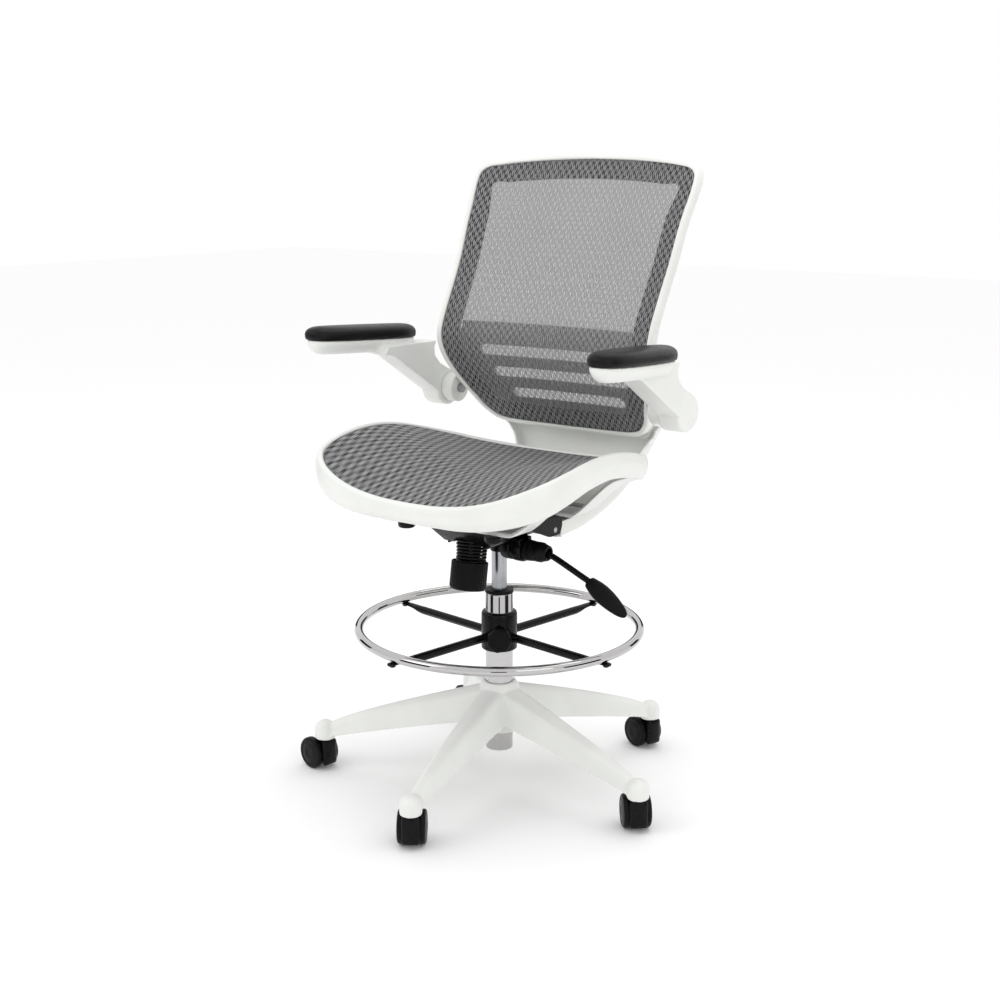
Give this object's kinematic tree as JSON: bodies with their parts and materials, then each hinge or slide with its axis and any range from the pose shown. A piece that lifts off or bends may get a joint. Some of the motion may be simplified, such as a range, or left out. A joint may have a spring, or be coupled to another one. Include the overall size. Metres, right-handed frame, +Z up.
{
  "type": "drafting chair",
  "caption": "Tall drafting chair: mesh seat and curved mesh back in white frames, flip-up arms, gas lift, adjustable foot ring and a five-leg base on twin-wheel casters.",
  "frame": {"origin": "where the column's axis meets the floor, at the middle of the base", "axes": "+Z up along the column, the sitter faces -Y, +X is the sitter's left hand"},
  "size_m": [0.6934, 0.6796, 1.131],
  "materials": {
    "white_plastic": "satin",
    "black_plastic": "satin",
    "black_steel": "satin paint",
    "caster_nylon": "moulded nylon",
    "chrome": "polished",
    "steel": "ground",
    "grey_mesh": "knitted mesh",
    "black_vinyl": "soft moulded vinyl"
  },
  "bodies": {
    "base": {"base_star": "white_plastic", "column_tube": "chrome", "column_bushing": "black_plastic", "thrust_bearing": "steel"},
    "gas_rod": {"piston_rod": "steel", "rod_clip": "steel"},
    "lift": {"pressure_tube": "steel", "mechanism_housing": "black_steel", "pivot_shaft": "steel", "tension_spring": "black_steel"},
    "seat": {"seat_plate": "black_steel", "seat_frame": "white_plastic", "seat_mesh": "grey_mesh", "back_frame": "white_plastic", "back_mesh": "grey_mesh", "back_border": "black_plastic", "back_bracket": "white_plastic", "bracket_screw_left": "black_steel", "bracket_screw_right": "black_steel", "lumbar_brace": "white_plastic", "arm_pin_left": "steel", "arm_pin_right": "steel"},
    "bolt": {"tension_bolt": "steel"},
    "knob": {"tension_knob": "black_plastic"},
    "arm_l": {"arm_left": "white_plastic", "arm_pad_left": "black_vinyl"},
    "arm_r": {"arm_right": "white_plastic", "arm_pad_right": "black_vinyl"},
    "sleeve": {"lever_sleeve": "black_plastic"},
    "lever": {"lever_rod": "black_steel", "lever_paddle": "black_plastic"},
    "button": {"release_button": "steel"},
    "ring": {"foot_ring": "chrome", "ring_spider": "black_steel"},
    "clamp": {"clamp_knob": "black_plastic"},
    "caster_1": {"caster_1_hood": "black_plastic", "caster_1_stem": "steel", "caster_1_axle": "steel"},
    "caster_1_left": {"caster_1_wheel_left": "caster_nylon"},
    "caster_1_right": {"caster_1_wheel_right": "caster_nylon"},
    "caster_2": {"caster_2_hood": "black_plastic", "caster_2_stem": "steel", "caster_2_axle": "steel"},
    "caster_2_left": {"caster_2_wheel_left": "caster_nylon"},
    "caster_2_right": {"caster_2_wheel_right": "caster_nylon"},
    "caster_3": {"caster_3_hood": "black_plastic", "caster_3_stem": "steel", "caster_3_axle": "steel"},
    "caster_3_left": {"caster_3_wheel_left": "caster_nylon"},
    "caster_3_right": {"caster_3_wheel_right": "caster_nylon"},
    "caster_4": {"caster_4_hood": "black_plastic", "caster_4_stem": "steel", "caster_4_axle": "steel"},
    "caster_4_left": {"caster_4_wheel_left": "caster_nylon"},
    "caster_4_right": {"caster_4_wheel_right": "caster_nylon"},
    "caster_5": {"caster_5_hood": "black_plastic", "caster_5_stem": "steel", "caster_5_axle": "steel"},
    "caster_5_left": {"caster_5_wheel_left": "caster_nylon"},
    "caster_5_right": {"caster_5_wheel_right": "caster_nylon"}
  },
  "joints": [
    {"name": "column_spin", "type": "hinge", "parent": "base", "child": "gas_rod", "pos_m": [0, 0, 0.0625], "axis": [0, 0, 1], "continuous": true},
    {"name": "seat_lift", "type": "slide", "parent": "gas_rod", "child": "lift", "axis": [0, 0, 1], "range_m": [-0.035, 0.155]},
    {"name": "seat_tilt", "type": "hinge", "parent": "lift", "child": "seat", "pos_m": [0, 0.026, 0.4835], "axis": [-1, 0, 0], "range_deg": [0, 12], "stiffness_Nm_per_rad": 110, "springref_deg": -20.05, "deforming": ["tension_spring"]},
    {"name": "tension_swing", "type": "hinge", "parent": "seat", "child": "bolt", "pos_m": [0, -0.0739, 0.5122], "axis": [1, 0, 0], "range_deg": [0, 12]},
    {"name": "tension_turn", "type": "hinge", "parent": "bolt", "child": "knob", "pos_m": [0, -0.0799, 0.4751], "axis": [0, -0.1607, -0.987], "continuous": true},
    {"name": "arm_left_flip", "type": "hinge", "parent": "seat", "child": "arm_l", "pos_m": [0.2425, 0.168, 0.6915], "axis": [-1, 0, 0], "range_deg": [0, 90]},
    {"name": "arm_right_flip", "type": "hinge", "parent": "seat", "child": "arm_r", "pos_m": [-0.2425, 0.168, 0.6915], "axis": [-1, 0, 0], "range_deg": [0, 90]},
    {"name": "lever_slide", "type": "slide", "parent": "lift", "child": "sleeve", "axis": [1, 0, 0], "range_m": [0, 0.008]},
    {"name": "lever_lift", "type": "hinge", "parent": "sleeve", "child": "lever", "pos_m": [0.066, 0, 0.4465], "axis": [0, -1, 0], "range_deg": [0, 4.5], "stiffness_Nm_per_rad": 6, "springref_deg": -5.73},
    {"name": "release_press", "type": "slide", "parent": "lift", "child": "button", "axis": [0, 0, -1], "range_m": [0, 0.0055]},
    {"name": "ring_slide", "type": "slide", "parent": "base", "child": "ring", "axis": [0, 0, 1], "range_m": [-0.05, 0.03]},
    {"name": "clamp_turn", "type": "hinge", "parent": "ring", "child": "clamp", "pos_m": [0, 0, 0.281], "axis": [0.592, -0.8059, 0], "continuous": true},
    {"name": "caster_1_swivel", "type": "hinge", "parent": "base", "child": "caster_1", "pos_m": [0.1454, 0.2968, 0.0595], "axis": [0, 0, 1], "continuous": true},
    {"name": "caster_1_left_roll", "type": "hinge", "parent": "caster_1", "child": "caster_1_left", "pos_m": [0.12646, 0.30321, 0.0295], "axis": [-0.3206, -0.9472, 0], "continuous": true},
    {"name": "caster_1_right_roll", "type": "hinge", "parent": "caster_1", "child": "caster_1_right", "pos_m": [0.12646, 0.30321, 0.0295], "axis": [-0.3206, -0.9472, 0], "continuous": true},
    {"name": "caster_2_swivel", "type": "hinge", "parent": "base", "child": "caster_2", "pos_m": [-0.23734, 0.23, 0.0595], "axis": [0, 0, 1], "continuous": true},
    {"name": "caster_2_left_roll", "type": "hinge", "parent": "caster_2", "child": "caster_2_left", "pos_m": [-0.25398, 0.2411, 0.0295], "axis": [-0.5548, -0.832, 0], "continuous": true},
    {"name": "caster_2_right_roll", "type": "hinge", "parent": "caster_2", "child": "caster_2_right", "pos_m": [-0.25398, 0.2411, 0.0295], "axis": [-0.5548, -0.832, 0], "continuous": true},
    {"name": "caster_3_swivel", "type": "hinge", "parent": "base", "child": "caster_3", "pos_m": [-0.29208, -0.15465, 0.0595], "axis": [0, 0, 1], "continuous": true},
    {"name": "caster_3_left_roll", "type": "hinge", "parent": "caster_3", "child": "caster_3_left", "pos_m": [-0.3118, -0.15128, 0.0295], "axis": [-0.1685, -0.9857, 0], "continuous": true},
    {"name": "caster_3_right_roll", "type": "hinge", "parent": "caster_3", "child": "caster_3_right", "pos_m": [-0.3118, -0.15128, 0.0295], "axis": [-0.1685, -0.9857, 0], "continuous": true},
    {"name": "caster_4_swivel", "type": "hinge", "parent": "base", "child": "caster_4", "pos_m": [0.05682, -0.32558, 0.0595], "axis": [0, 0, 1], "continuous": true},
    {"name": "caster_4_left_roll", "type": "hinge", "parent": "caster_4", "child": "caster_4_left", "pos_m": [0.04555, -0.30906, 0.0295], "axis": [-0.8261, -0.5635, 0], "continuous": true},
    {"name": "caster_4_right_roll", "type": "hinge", "parent": "caster_4", "child": "caster_4_right", "pos_m": [0.04555, -0.30906, 0.0295], "axis": [-0.8261, -0.5635, 0], "continuous": true},
    {"name": "caster_5_swivel", "type": "hinge", "parent": "base", "child": "caster_5", "pos_m": [0.3272, -0.04657, 0.0595], "axis": [0, 0, 1], "continuous": true},
    {"name": "caster_5_left_roll", "type": "hinge", "parent": "caster_5", "child": "caster_5_left", "pos_m": [0.314, -0.03154, 0.0295], "axis": [-0.7513, -0.66, 0], "continuous": true},
    {"name": "caster_5_right_roll", "type": "hinge", "parent": "caster_5", "child": "caster_5_right", "pos_m": [0.314, -0.03154, 0.0295], "axis": [-0.7513, -0.66, 0], "continuous": true}
  ],
  "couplings": [
    {"joint": "tension_swing", "follows": "seat_tilt", "ratio": 1},
    {"joint": "release_press", "follows": "lever_lift", "m_per_rad": 0.0675}
  ]
}
